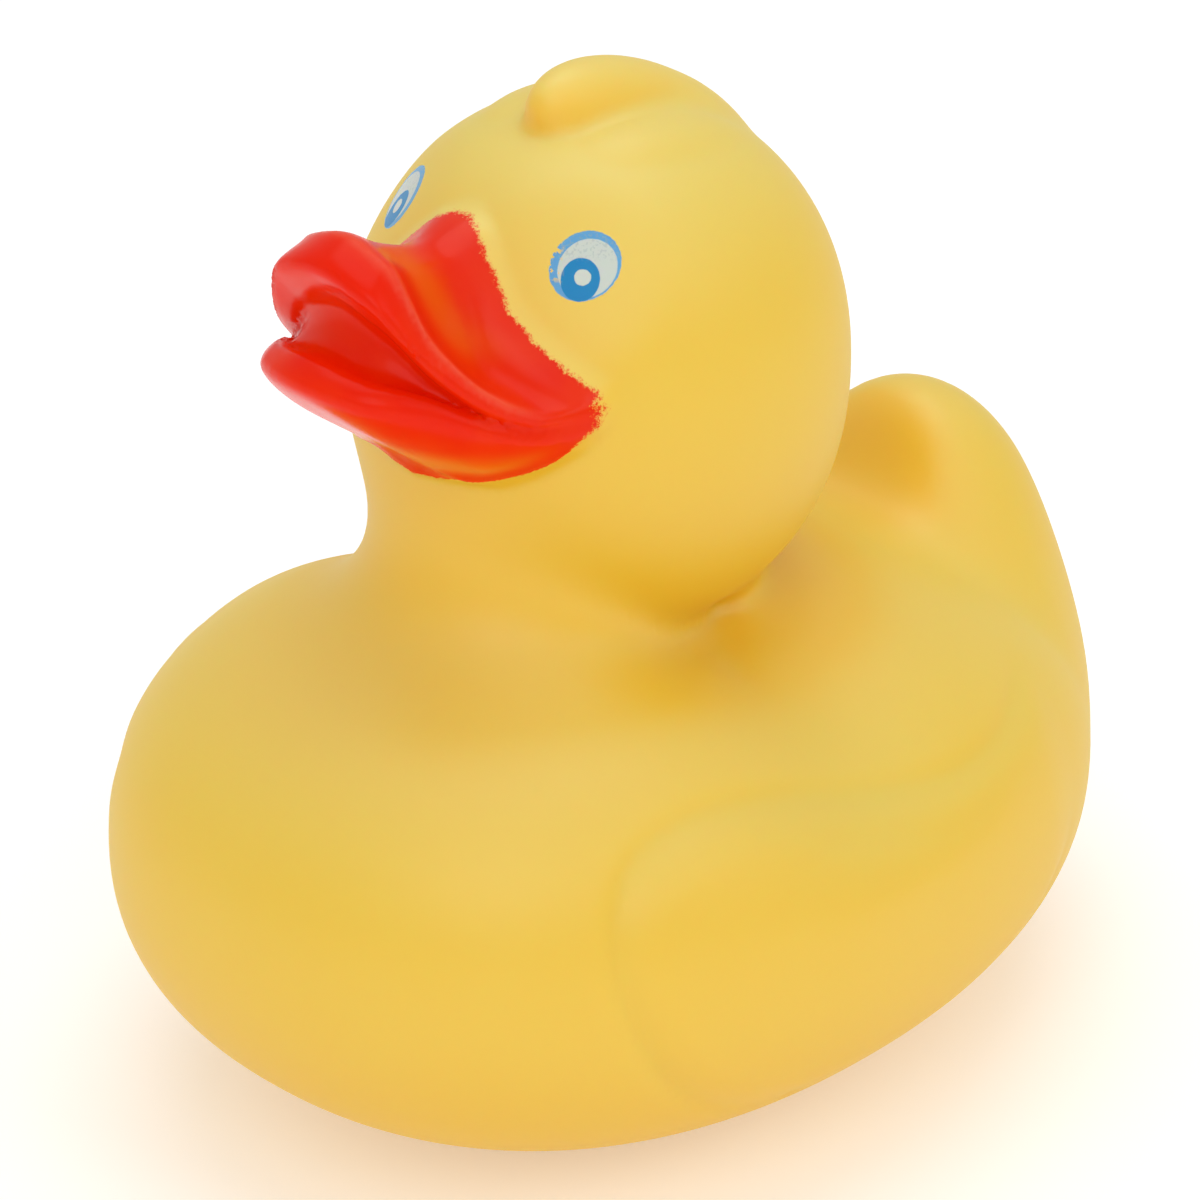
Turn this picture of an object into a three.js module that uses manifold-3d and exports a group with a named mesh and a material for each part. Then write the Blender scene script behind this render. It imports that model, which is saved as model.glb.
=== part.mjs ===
// A hollow soft-vinyl bath duck with a squeaker pressed into its base.
// Millimetres. +Z is up, the duck looks along -Y, and +X is the duck's own left.
// The moulding is drawn as smooth fields (negative inside) that are blended and then meshed.
import * as THREE from 'three';
import { mergeVertices } from 'three/addons/utils/BufferGeometryUtils.js';
import Module from 'manifold-3d';

const wasm = await Module();
wasm.setup();

// ---- driving dimensions -------------------------------------------------------------------

const WALL = 1.8;
const TRUNK = {
  centre: [0, 0, 22.3], half: [34.3, 45.5, 22.8], belly: 23, pitch: -3.8,
  planSquareness: 2.17, sideSquareness: 2.26, widthTaper: 0.07, heightTaper: 0.1,
};
const SADDLE = { depth: 3, middle: -1.7, length: 10.1, from: 26, to: 38 };
const HEAD = { centre: [0, -2.8, 62.5], half: [19.7, 20, 22.3], squareness: 2.15 };
const NECK = { centre: [0, -12.9, 39.4], half: [10.3, 11.9, 22.6] };
const TAIL = { centre: [0, 36, 28], half: [13.4, 12.1, 20.5], pitch: 1.9 };
const CREST = { centre: [0, -1, 82.8], half: [5.9, 8.8, 4.9], pitch: -14.7 };
const CREST_SIDE = { centre: [3.9, -0.2, 81.1], half: [4.7, 8.2, 4], pitch: -9 };
const WING = {
  centre: [2, 24.1], half: [27, 11.5], upsweep: 0.011, relief: 0.45, edge: 4, sideFrom: 14, sideTo: 22,
};
const BLEND = { neck: 5.6, tail: 9.6, pocket: 1.6 };
const SHOULDER = { back: 3, front: 8.5, from: 2, to: 20 };

// Beak: profiles in upright planes through a vertical axis, one for each angle from straight ahead.
// Each point is [reach from the axis, height], going from the brow over the rim, the upper lip,
// the roof of the mouth, the tongue, the lower lip and back to the chin.
const BEAK_AXIS_Y = -15.2;
const BEAK_INNER = { reach: 0.5, top: 76.1, bottom: 60.1 };
const BEAK_PROFILES = [
  { angle: 0, points: [[3, 78.2], [7, 77.9], [11, 79.3], [14.2, 81], [17.6, 79.4], [16.4, 77.3], [13.6, 75.5],
    [15.2, 73.9], [16.4, 71], [18.8, 71.4], [20, 69.9], [16.9, 66.8], [10.3, 61.9]] },
  { angle: 16, points: [[3, 77.6], [7.2, 77], [11.5, 78.1], [14.9, 79.8], [17.9, 77.9], [16.4, 75.8], [13.6, 74.2],
    [15.2, 72.7], [16.4, 70.7], [18.3, 70.6], [19.3, 69.1], [16.5, 66], [10.4, 61.5]] },
  { angle: 32, points: [[3, 76.1], [7.4, 74.1], [12, 73.3], [15.4, 73.7], [16.7, 72.3], [15.3, 70.9], [14.4, 70.1],
    [14.6, 69.7], [14.9, 69.4], [16.2, 69.4], [16.9, 68], [14.9, 64.7], [10.3, 60.9]] },
  { angle: 48, points: [[3, 75.1], [7.8, 71.9], [11.6, 70], [15, 69.7], [15.6, 68.9], [15.1, 68.2], [14.6, 67.8],
    [14.5, 67.7], [14.6, 67.6], [15.3, 67.3], [15.6, 66.4], [13.8, 63.3], [10, 60.6]] },
  { angle: 64, points: [[3, 74.1], [7.9, 71.4], [11.4, 69.3], [14.9, 67.7], [15.2, 67.3], [15, 66.9], [14.8, 66.7],
    [14.8, 66.6], [14.8, 66.5], [15, 66.1], [15, 65.3], [13.4, 63.2], [10.4, 61.1]] },
  { angle: 80, points: [[3, 73.1], [8, 71.4], [12, 69.1], [14.3, 67.5], [14.5, 67.1], [14.4, 66.8], [14.3, 66.7],
    [14.3, 66.6], [14.3, 66.5], [14.2, 66.1], [14, 65.5], [13, 64.1], [10.6, 62.6]] },
  { angle: 92, points: [[3, 72.1], [8, 71.1], [11, 69.1], [12.5, 68.1], [12.6, 67.5], [12.6, 67.3], [12.6, 67.1],
    [12.6, 67], [12.6, 66.9], [12.6, 66.5], [12.6, 65.9], [11.8, 65.1], [10, 64.1]] },
];
const BEAK_STEP = 8;
const BEAK_POINTS_PER_SPAN = 3;
const BEAK_POCKET = { centre: [0, -17.5, 69.6], half: [8.5, 7.5, 5] };

// Squeaker seat in the base and the squeaker itself; every clearance between pieces is GAP.
const GAP = 0.3;
const SEAT = { centreY: 1, recessRadius: 7.5, recessDepth: 1.6, holeRadius: 5.5, bossRadius: 9.5, floor: 3.4 };
const PLUG = {
  flange: 1, barbRadius: 7, barb: 1, barbTop: 2.4, cupRadius: 4.8, wall: 1, top: 13, blowRadius: 1.6,
};
const REED = { holderRadius: 3.4, slot: 1.4, floor: 1.2, thickness: 0.4, width: 4, height: 6.2 };

// Meshing: grid steps, sides of a round, room left around the duck and a size larger than the duck.
const OUTER_STEP = 3.9;
const INNER_STEP = 6;
const ROUND = 40;
const MARGIN = 8;
const FAR = 200;
const SLOPE_REACH = 0.05;

// ---- smooth fields ------------------------------------------------------------------------

const radians = THREE.MathUtils.degToRad;

function smoothMin(a, b, width) {
  const h = Math.max(width - Math.abs(a - b), 0) / width;
  return Math.min(a, b) - h * h * width / 4;
}

// The point in a frame at centre, turned by pitch degrees about X.
function localPoint([x, y, z], { centre, pitch = 0 }) {
  const dy = y - centre[1];
  const dz = z - centre[2];
  const c = Math.cos(radians(pitch));
  const s = Math.sin(radians(pitch));
  return [x - centre[0], dy * c + dz * s, dz * c - dy * s];
}

function ellipsoid(point, form) {
  const q = localPoint(point, form).map((v, i) => v / form.half[i]);
  const size = Math.hypot(...q);
  const slope = Math.hypot(...q.map((v, i) => v / form.half[i]));
  return size * (size - 1) / Math.max(slope, 1e-9);
}

// Raised pad on each flank: full height well inside the wing's outline, nothing outside it.
function wingRelief([x, y, z]) {
  const along = (y - WING.centre[0]) / WING.half[0];
  const lift = WING.upsweep * Math.max(y - WING.centre[0], 0) ** 2;
  const up = (z - WING.centre[1] - lift) / WING.half[1];
  const inside = (1 - Math.hypot(along, up)) * WING.half[1];
  const side = THREE.MathUtils.smoothstep(Math.abs(x), WING.sideFrom, WING.sideTo);
  return WING.relief * side * THREE.MathUtils.smoothstep(inside, 0, WING.edge);
}

// A squarish egg whose plan and side outlines are squared by different amounts.
function trunkField(point) {
  const { half, belly, planSquareness, sideSquareness, widthTaper, heightTaper } = TRUNK;
  const [x, y, z] = localPoint(point, TRUNK);
  const along = y / half[1];
  const sizes = [half[0], half[1], z < 0 ? belly : half[2]];
  const a = [x / (1 - widthTaper * along), y, z / (1 - heightTaper * along)]
    .map((v, i) => Math.abs(v / sizes[i]) + 1e-6);
  const plan = a[0] ** planSquareness + a[1] ** planSquareness;
  const total = plan ** (sideSquareness / planSquareness) + a[2] ** sideSquareness;
  const outer = total ** (1 / sideSquareness - 1);
  const inner = outer * plan ** (sideSquareness / planSquareness - 1);
  const slope = Math.hypot(inner * a[0] ** (planSquareness - 1) / sizes[0],
    inner * a[1] ** (planSquareness - 1) / sizes[1], outer * a[2] ** (sideSquareness - 1) / sizes[2]);
  return (total ** (1 / sideSquareness) - 1) / slope;
}

// How much lower the back lies in the dip between neck and tail.
function saddleDip([, y, z]) {
  const along = (y - SADDLE.middle) / SADDLE.length;
  return SADDLE.depth * Math.exp(-along * along) * THREE.MathUtils.smoothstep(z, SADDLE.from, SADDLE.to);
}

function torsoField(point) {
  const trunk = trunkField(point) + saddleDip(point) - wingRelief(point);
  return smoothMin(trunk, ellipsoid(point, TAIL), BLEND.tail);
}

function skullField(point) {
  const { half, squareness } = HEAD;
  const a = localPoint(point, HEAD).map((v, i) => Math.abs(v / half[i]) + 1e-6);
  const size = a.reduce((sum, v) => sum + v ** squareness, 0) ** (1 / squareness);
  const slope = Math.hypot(...a.map((v, i) => (v / size) ** (squareness - 1) / half[i]));
  return smoothMin((size - 1) / slope, ellipsoid(point, NECK), BLEND.neck);
}

// The fillet between neck and trunk is wide at the breast and narrow behind the neck.
function shoulderWidth([, y]) {
  const ahead = THREE.MathUtils.smoothstep(-y, SHOULDER.from, SHOULDER.to);
  return THREE.MathUtils.lerp(SHOULDER.back, SHOULDER.front, ahead);
}

function outerField(point) {
  return smoothMin(torsoField(point), skullField(point), shoulderWidth(point));
}

function cavityField(point) {
  const head = smoothMin(skullField(point) + WALL, ellipsoid(point, BEAK_POCKET), BLEND.pocket);
  return smoothMin(torsoField(point) + WALL, head, shoulderWidth(point));
}

// ---- meshing a field ----------------------------------------------------------------------

function pullToSurface(field, point) {
  for (let round = 0; round < 2; round += 1) {
    const slope = [0, 1, 2].map((axis) => {
      const ahead = [...point];
      const behind = [...point];
      ahead[axis] += SLOPE_REACH;
      behind[axis] -= SLOPE_REACH;
      return (field(ahead) - field(behind)) / (2 * SLOPE_REACH);
    });
    const push = field(point) / Math.max(slope.reduce((sum, v) => sum + v * v, 0), 1e-6);
    point = point.map((v, axis) => v - push * slope[axis]);
  }
  return point;
}

// Surface net: one vertex in each cell that the surface crosses, one square across each crossed edge.
function meshField(field, low, high, step) {
  const count = low.map((v, axis) => Math.ceil((high[axis] - v) / step) + 1);
  const key = (i, j, k) => (k * count[1] + j) * count[0] + i;
  const place = (i, j, k) => [low[0] + i * step, low[1] + j * step, low[2] + k * step];
  const values = new Float64Array(count[0] * count[1] * count[2]);
  for (let k = 0; k < count[2]; k += 1) {
    for (let j = 0; j < count[1]; j += 1) {
      for (let i = 0; i < count[0]; i += 1) values[key(i, j, k)] = field(place(i, j, k));
    }
  }
  const corners = [0, 1, 2, 3, 4, 5, 6, 7].map((bit) => [bit & 1, (bit >> 1) & 1, bit >> 2]);
  const edges = corners.flatMap((corner) => [0, 1, 2].filter((axis) => corner[axis] === 0)
    .map((axis) => [corner, corner.map((v, i) => (i === axis ? 1 : v))]));
  const cellVertex = new Map();
  const positions = [];
  for (let k = 0; k < count[2] - 1; k += 1) {
    for (let j = 0; j < count[1] - 1; j += 1) {
      for (let i = 0; i < count[0] - 1; i += 1) {
        const valueAt = ([a, b, c]) => values[key(i + a, j + b, k + c)];
        const crossed = edges.filter(([from, to]) => valueAt(from) < 0 !== valueAt(to) < 0);
        if (crossed.length === 0) continue;
        const centre = [0, 1, 2].map((axis) => crossed.reduce((sum, [from, to]) => {
          const share = valueAt(from) / (valueAt(from) - valueAt(to));
          return sum + from[axis] + share * (to[axis] - from[axis]);
        }, 0) / crossed.length);
        cellVertex.set(key(i, j, k), positions.length / 3);
        positions.push(...pullToSurface(field, place(i + centre[0], j + centre[1], k + centre[2])));
      }
    }
  }
  const faces = [];
  const axes = [[1, 0, 0], [0, 1, 0], [0, 0, 1]];
  for (let k = 1; k < count[2] - 1; k += 1) {
    for (let j = 1; j < count[1] - 1; j += 1) {
      for (let i = 1; i < count[0] - 1; i += 1) {
        const here = values[key(i, j, k)] < 0;
        axes.forEach(([a, b, c], axis) => {
          if (here === values[key(i + a, j + b, k + c)] < 0) return;
          const [u, v] = [axes[(axis + 1) % 3], axes[(axis + 2) % 3]];
          const ring = [[0, 0], [1, 0], [1, 1], [0, 1]].map(([m, n]) => cellVertex.get(
            key(i - m * u[0] - n * v[0], j - m * u[1] - n * v[1], k - m * u[2] - n * v[2])));
          if (!here) ring.reverse();
          faces.push(ring[0], ring[1], ring[2], ring[0], ring[2], ring[3]);
        });
      }
    }
  }
  const geometry = new THREE.BufferGeometry();
  geometry.setAttribute('position', new THREE.Float32BufferAttribute(positions, 3));
  geometry.setIndex(faces);
  return geometry;
}

// ---- solids -------------------------------------------------------------------------------

function toSolid(geometry) {
  geometry.deleteAttribute('normal');
  geometry.deleteAttribute('uv');
  const merged = mergeVertices(geometry, 1e-4);
  const vertProperties = new Float32Array(merged.attributes.position.array);
  const triVerts = new Uint32Array(merged.index.array);
  return new wasm.Manifold(new wasm.Mesh({ numProp: 3, vertProperties, triVerts }));
}

function toGeometry(solid) {
  const { vertProperties, triVerts } = solid.getMesh();
  const geometry = new THREE.BufferGeometry();
  geometry.setAttribute('position', new THREE.BufferAttribute(vertProperties, 3));
  geometry.setIndex(new THREE.BufferAttribute(triVerts, 1));
  geometry.computeVertexNormals();
  return geometry;
}

// A solid turned about the seat's vertical axis from [radius, height] points, a profile that runs
// upwards on its outer side and closes on itself or on the axis.
function turned(points) {
  return new THREE.LatheGeometry(points.map(([r, z]) => new THREE.Vector2(r, z)), ROUND)
    .rotateX(Math.PI / 2).translate(0, SEAT.centreY, 0);
}

function disc(radius, bottom, top) {
  return turned([[0, bottom], [radius, bottom], [radius, top], [0, top]]);
}

function block(width, depth, bottom, top) {
  return new THREE.BoxGeometry(width, depth, top - bottom).translate(0, SEAT.centreY, (bottom + top) / 2);
}

function beakGeometry() {
  const mirrored = BEAK_PROFILES.slice(1).reverse().map(({ angle, points }) => ({ angle: -angle, points }));
  const stations = [...mirrored, ...BEAK_PROFILES];
  const tracks = new THREE.CubicInterpolant(stations.map(({ angle }) => angle),
    stations.flatMap(({ points }) => points.flat()), BEAK_PROFILES[0].points.length * 2);
  const rings = [];
  for (let angle = -88; angle <= 88; angle += BEAK_STEP) {
    const flat = Array.from(tracks.evaluate(angle));
    const knots = flat.filter((_, i) => i % 2 === 0).map((reach, i) => new THREE.Vector2(reach, flat[2 * i + 1]));
    const outline = new THREE.SplineCurve(knots).getPoints((knots.length - 1) * BEAK_POINTS_PER_SPAN);
    outline.push(new THREE.Vector2(BEAK_INNER.reach, BEAK_INNER.bottom));
    outline.push(new THREE.Vector2(BEAK_INNER.reach, BEAK_INNER.top));
    rings.push({ angle: radians(angle), outline });
  }
  const size = rings[0].outline.length;
  const positions = rings.flatMap(({ angle, outline }) => outline.flatMap(
    ({ x, y }) => [x * Math.sin(angle), BEAK_AXIS_Y - x * Math.cos(angle), y]));
  const faces = [];
  for (let ring = 0; ring < rings.length - 1; ring += 1) {
    for (let i = 0; i < size; i += 1) {
      const [a, b] = [ring * size + i, ring * size + (i + 1) % size];
      faces.push(a, b, a + size, b, b + size, a + size);
    }
  }
  const last = (rings.length - 1) * size;
  THREE.ShapeUtils.triangulateShape(rings[0].outline, []).forEach(([a, b, c]) => faces.push(a, b, c));
  THREE.ShapeUtils.triangulateShape(rings.at(-1).outline, []).forEach(([a, b, c]) => {
    faces.push(last + a, last + c, last + b);
  });
  const geometry = new THREE.BufferGeometry();
  geometry.setAttribute('position', new THREE.Float32BufferAttribute(positions, 3));
  geometry.setIndex(faces);
  return geometry;
}

// One lobe of the swept-back crest; side -1 puts it on the duck's right.
function crestLobe({ centre, half, pitch }, side = 1) {
  return new THREE.SphereGeometry(1, 20, 14).scale(...half).rotateX(radians(pitch))
    .translate(side * centre[0], centre[1], centre[2]);
}

function duckBody() {
  const low = [-TRUNK.half[0] - MARGIN, -TRUNK.half[1] - MARGIN, -MARGIN];
  const high = [TRUNK.half[0] + MARGIN, TRUNK.half[1] + MARGIN, HEAD.centre[2] + HEAD.half[2] + MARGIN];
  const aboveGround = toSolid(block(FAR, FAR, 0, FAR));
  const raised = [beakGeometry(), crestLobe(CREST), crestLobe(CREST_SIDE), crestLobe(CREST_SIDE, -1)];
  const skin = raised.reduce((solid, geometry) => solid.add(toSolid(geometry)),
    toSolid(meshField(outerField, low, high, OUTER_STEP)));
  const aboveFloor = toSolid(block(FAR, FAR, WALL, FAR));
  const boss = toSolid(disc(SEAT.bossRadius, -1, SEAT.floor));
  const cavity = toSolid(meshField(cavityField, low, high, INNER_STEP)).intersect(aboveFloor).subtract(boss);
  const recess = toSolid(disc(SEAT.recessRadius, -1, SEAT.recessDepth));
  const hole = toSolid(disc(SEAT.holeRadius, -1, SEAT.floor + 1));
  return toGeometry(skin.intersect(aboveGround).subtract(cavity).subtract(recess).subtract(hole));
}

// Flange under the seat, neck through the hole, barb over the seat and a cup that holds the reed.
function squeakerPlug() {
  const { flange, barbRadius, barb, barbTop, cupRadius, wall, top, blowRadius } = PLUG;
  const flangeRadius = SEAT.recessRadius - GAP;
  const flangeTop = SEAT.recessDepth - GAP;
  const flangeBottom = flangeTop - flange;
  const neck = SEAT.holeRadius - GAP;
  const barbBottom = SEAT.floor + GAP;
  const cupFloor = barbBottom + barb;
  return turned([[blowRadius, flangeBottom], [flangeRadius, flangeBottom], [flangeRadius, flangeTop],
    [neck, flangeTop], [neck, barbBottom], [barbRadius, barbBottom], [cupRadius, barbBottom + barbTop],
    [cupRadius, top], [cupRadius - wall, top], [cupRadius - wall, cupFloor], [blowRadius, cupFloor],
    [blowRadius, flangeBottom]]);
}

// Round holder that sits in the cup, slotted across so that the reed lies in it.
function reedHolder() {
  const bottom = SEAT.floor + GAP + PLUG.barb + GAP;
  const holder = toSolid(disc(REED.holderRadius, bottom, PLUG.top - 1));
  const slotBottom = bottom + REED.floor;
  const slot = toSolid(block(REED.slot, 4 * REED.holderRadius, slotBottom, PLUG.top));
  const airway = toSolid(disc(PLUG.blowRadius, bottom - 1, slotBottom + 1));
  return toGeometry(holder.subtract(slot).subtract(airway));
}

function reedStrip() {
  const bottom = SEAT.floor + 2 * GAP + PLUG.barb + REED.floor + GAP;
  return block(REED.thickness, REED.width, bottom, bottom + REED.height);
}

// ---- materials and assembly ---------------------------------------------------------------

const finish = (color, roughness) => new THREE.MeshStandardMaterial({ color, roughness, metalness: 0 });

const pieces = [
  ['duck_body', duckBody(), finish(0xe9c95f, 0.45)],
  ['squeaker_plug', squeakerPlug(), finish(0xe8e4d8, 0.5)],
  ['squeaker_reed_holder', reedHolder(), finish(0xdad6ca, 0.5)],
  ['squeaker_reed', reedStrip(), finish(0xf2f0ea, 0.3)],
];

const duck = new THREE.Group();
pieces.forEach(([name, geometry, material]) => {
  const mesh = new THREE.Mesh(geometry, material);
  mesh.name = name;
  duck.add(mesh);
});

// The origin is the middle of the duck's footprint, so the whole toy is centred over it.
const middle = new THREE.Box3().setFromObject(duck).getCenter(new THREE.Vector3());
duck.position.set(-middle.x, -middle.y, 0);

export default duck;
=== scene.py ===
# %% [markdown]
# # A soft vinyl bath duck
# This lesson builds one bath duck: a hollow shell of soft yellow vinyl with a sprayed red beak,
# two printed eyes and a squeaker pressed into its base. The real toy is rotationally moulded in one
# piece, so it has no seams to copy and hardly a flat spot anywhere. We work in metres with +Z up.
# The duck looks along -Y, and +X is the duck's own left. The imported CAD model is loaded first,
# because every piece that we make has to sit exactly where its CAD solid is.

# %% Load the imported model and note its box
import math

import bpy
import numpy as np
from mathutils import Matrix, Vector


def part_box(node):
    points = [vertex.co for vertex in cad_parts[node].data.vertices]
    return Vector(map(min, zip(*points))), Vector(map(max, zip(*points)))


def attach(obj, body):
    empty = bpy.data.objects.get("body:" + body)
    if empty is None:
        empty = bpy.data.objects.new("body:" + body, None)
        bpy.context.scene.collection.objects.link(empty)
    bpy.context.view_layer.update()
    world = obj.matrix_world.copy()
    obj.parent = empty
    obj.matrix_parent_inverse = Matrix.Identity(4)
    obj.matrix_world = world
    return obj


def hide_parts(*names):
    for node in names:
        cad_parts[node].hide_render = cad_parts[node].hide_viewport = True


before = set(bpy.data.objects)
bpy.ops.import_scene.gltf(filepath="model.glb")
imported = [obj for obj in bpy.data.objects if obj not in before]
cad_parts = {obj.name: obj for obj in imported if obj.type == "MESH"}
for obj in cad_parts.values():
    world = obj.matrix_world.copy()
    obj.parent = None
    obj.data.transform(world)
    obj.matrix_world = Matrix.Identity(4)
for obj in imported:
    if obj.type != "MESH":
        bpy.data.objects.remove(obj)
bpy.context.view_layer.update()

# %% [markdown]
# ## Drawing the shape as a field
# A duck like this could be sculpted by hand or pushed out of a subdivision cage. We describe it with
# a *field* instead: a function that is negative inside the vinyl and positive outside, roughly in
# millimetres. Fields can be blended with a soft minimum, which gives the same fat, even fillets
# that molten vinyl leaves in a mould. Every field here takes an array of points in millimetres.

# %% Field helpers
def soft_min(a, b, width):
    """The smaller of two fields, with a fillet about as wide as width where they meet."""
    h = np.maximum(width - np.abs(a - b), 0) / width
    return np.minimum(a, b) - h * h * width / 4


def soft_max(a, b, width):
    """The larger of two fields, with the edge where they meet rounded about as wide as width."""
    return -soft_min(-a, -b, width)


def smooth_step(value, start, end):
    """0 up to start, rising smoothly to 1 at end."""
    t = np.clip((value - start) / (end - start), 0, 1)
    return t * t * (3 - 2 * t)


def fade_out(value, full, gone):
    """1 up to full, falling smoothly to 0 at gone."""
    return smooth_step(-value, -gone, -full)


def bell(distance, width):
    """1 at distance 0, falling to a third at width and to nothing beyond."""
    return np.exp(-((distance / width) ** 2))


def local(points, centre, pitch=0.0):
    """Points seen from a centre, turned by pitch degrees about X."""
    d = points - np.array(centre, float)
    c, s = math.cos(math.radians(pitch)), math.sin(math.radians(pitch))
    return np.stack([d[:, 0], d[:, 1] * c + d[:, 2] * s, d[:, 2] * c - d[:, 1] * s], axis=1)


def ellipsoid(points, centre, half, pitch=0.0):
    """An ellipsoid's field from its centre, its three half axes and its pitch."""
    q = local(points, centre, pitch) / np.array(half)
    size = np.linalg.norm(q, axis=1)
    slope = np.linalg.norm(q / np.array(half), axis=1)
    return size * (size - 1) / np.maximum(slope, 1e-9)


def mirrored(points):
    """The same points folded onto the duck's left side."""
    return np.stack([np.abs(points[:, 0]), points[:, 1], points[:, 2]], axis=1)


print("field helpers ready")

# %% [markdown]
# ## Trunk, wings and tail
# The trunk is a squarish egg, a little wider at the breast, lying almost level, with a shallow
# saddle across the back. The tail is a thick leaf, hollowed a little on the side that faces the
# head. The egg is squared with a power law, which gives fuller flanks than an ellipsoid has.

# %% Trunk and tail shapes
TRUNK_CENTRE, TRUNK_HALF, TRUNK_PITCH = (0, 0, 22.3), (34.3, 45.5, 22.8), -3.8
BELLY_HALF = 23.0
PLAN_SQUARENESS, SIDE_SQUARENESS = 2.17, 2.26
WIDTH_TAPER, HEIGHT_TAPER = 0.07, 0.10
SADDLE_DEPTH, SADDLE_MIDDLE, SADDLE_LENGTH = 3.0, -1.7, 10.1
SADDLE_FOOT, SADDLE_FULL = 26, 38
TAIL_CENTRE, TAIL_HALF, TAIL_PITCH = (0, 36.0, 28.0), (13.4, 12.1, 20.5), 1.9
TAIL_HOLLOW_CENTRE, TAIL_HOLLOW_HALF, TAIL_HOLLOW_EDGE = (0, 22.0, 47.0), (10.5, 8.2, 10.5), 5.5
TAIL_BLEND, TAIL_BLEND_MORE_BEHIND, TAIL_BLEND_FROM, TAIL_BLEND_TO = 6.4, 3.2, 27, 37
SKIN_REACH = 2
TINY = 1e-6


def egg(points):
    """A squarish egg whose plan and side outlines are squared by different amounts."""
    half = np.array(TRUNK_HALF)
    q = local(points, TRUNK_CENTRE, TRUNK_PITCH)
    q[:, 0] /= 1 - WIDTH_TAPER * q[:, 1] / half[1]
    q[:, 2] /= 1 - HEIGHT_TAPER * q[:, 1] / half[1]
    half = np.where(q[:, 2:] < 0, [half[0], half[1], BELLY_HALF], half)
    a = np.abs(q / half) + TINY
    n, m = PLAN_SQUARENESS, SIDE_SQUARENESS
    plan = a[:, 0] ** n + a[:, 1] ** n
    total = plan ** (m / n) + a[:, 2] ** m
    shared = plan ** (m / n - 1) * total ** (1 / m - 1)
    slope = np.stack([shared * a[:, 0] ** (n - 1), shared * a[:, 1] ** (n - 1),
                      a[:, 2] ** (m - 1) * total ** (1 / m - 1)], axis=1) / half
    return (total ** (1 / m) - 1) / np.maximum(np.linalg.norm(slope, axis=1), 1e-9)


print("trunk half axes:", TRUNK_HALF, "tail half axes:", TAIL_HALF)

# %% [markdown]
# ## Folded wings
# Each flank carries a folded wing: a low pad with a soft groove along its edge and a fainter groove
# between its two rows of feathers. The wing could be a separate piece, but the mould makes it in
# one skin with the flank. So we draw its outline in the side view, as (y, z) points, cut the
# corners until the outline is a smooth curve, and raise or lower the flank by the distance from it.

# %% Wing relief
WING_OUTLINE = [(-18, 36.8), (-10.5, 35.3), (-4.3, 33.3), (3, 31.9), (10, 31.3), (17.4, 32.1),
                (24.5, 34.0), (29.0, 28.5), (26.0, 20.0), (18.0, 13.0), (6.0, 9.5), (-8.0, 9.0),
                (-16.0, 10.6), (-22.6, 15.0), (-26.5, 20.0), (-28.5, 26.0), (-28.2, 31.3),
                (-24.8, 35.4)]
FEATHER_LINE = [(-13.0, 33.4), (-2.1, 30.7), (3.1, 29.4), (9.0, 28.9), (13.5, 29.6)]
FEATHER_LOOP = FEATHER_LINE + FEATHER_LINE[-2:0:-1]
WING_HEIGHT, WING_PAD_INSIDE, WING_PAD_OUTSIDE = 0.42, -2.6, 0.5
WING_GROOVE, WING_GROOVE_AT, WING_GROOVE_WIDTH = 0.36, 0.5, 0.9
WING_GROOVE_FOOT, WING_GROOVE_FULL = 8, 16
FEATHER_GROOVE, FEATHER_GROOVE_WIDTH = 0.14, 0.8
FEATHER_FRONT, FEATHER_BACK = (-12, -7), (9, 13)
FLANK_STARTS, FLANK_FULL = 14, 22
WING_FADES, WING_GONE = 19, 26
FAR_AWAY = 9.0


def outline_distance(points, outline):
    """Signed distance in a plane from a closed outline, negative inside."""
    best = np.full(len(points), 1e9)
    sign = np.ones(len(points))
    for (ax, ay), (bx, by) in zip(outline, outline[-1:] + outline[:-1]):
        ex, ey = bx - ax, by - ay
        wx, wy = points[:, 0] - ax, points[:, 1] - ay
        t = np.clip((wx * ex + wy * ey) / (ex * ex + ey * ey), 0, 1)
        best = np.minimum(best, (wx - ex * t) ** 2 + (wy - ey * t) ** 2)
        above, below, left = points[:, 1] >= ay, points[:, 1] < by, ex * wy > ey * wx
        sign = np.where((above & below & left) | ~(above | below | left), -sign, sign)
    return sign * np.sqrt(best)


def rounded(outline, passes):
    """Cuts the corners of a closed outline over and over, which leaves a smooth curve."""
    ring = np.array(outline, float)
    for _ in range(passes):
        ahead = np.roll(ring, -1, axis=0)
        ring = np.stack([0.75 * ring + 0.25 * ahead, 0.25 * ring + 0.75 * ahead], axis=1).reshape(-1, 2)
    return [tuple(p) for p in ring]


WING_CURVE = rounded(WING_OUTLINE, 2)


def wing_relief(points, near):
    """How far the flank stands out, in millimetres, worked out only where near is true."""
    sideways, back, up = np.abs(points[:, 0]), points[:, 1], points[:, 2]
    edge, feather = np.full(len(points), FAR_AWAY), np.full(len(points), FAR_AWAY)
    near = near & (sideways > FLANK_STARTS)
    flank = points[near][:, 1:]
    edge[near] = outline_distance(flank, WING_CURVE)
    feather[near] = outline_distance(flank, FEATHER_LOOP)
    pad = WING_HEIGHT * fade_out(edge, WING_PAD_INSIDE, WING_PAD_OUTSIDE)
    groove = WING_GROOVE * bell(edge - WING_GROOVE_AT, WING_GROOVE_WIDTH)
    groove *= smooth_step(up, WING_GROOVE_FOOT, WING_GROOVE_FULL)
    line_ends = smooth_step(back, *FEATHER_FRONT) * fade_out(back, *FEATHER_BACK)
    groove += FEATHER_GROOVE * line_ends * bell(feather, FEATHER_GROOVE_WIDTH)
    on_the_flank = smooth_step(sideways, FLANK_STARTS, FLANK_FULL)
    return (pad - groove) * on_the_flank * fade_out(back, WING_FADES, WING_GONE)


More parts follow.
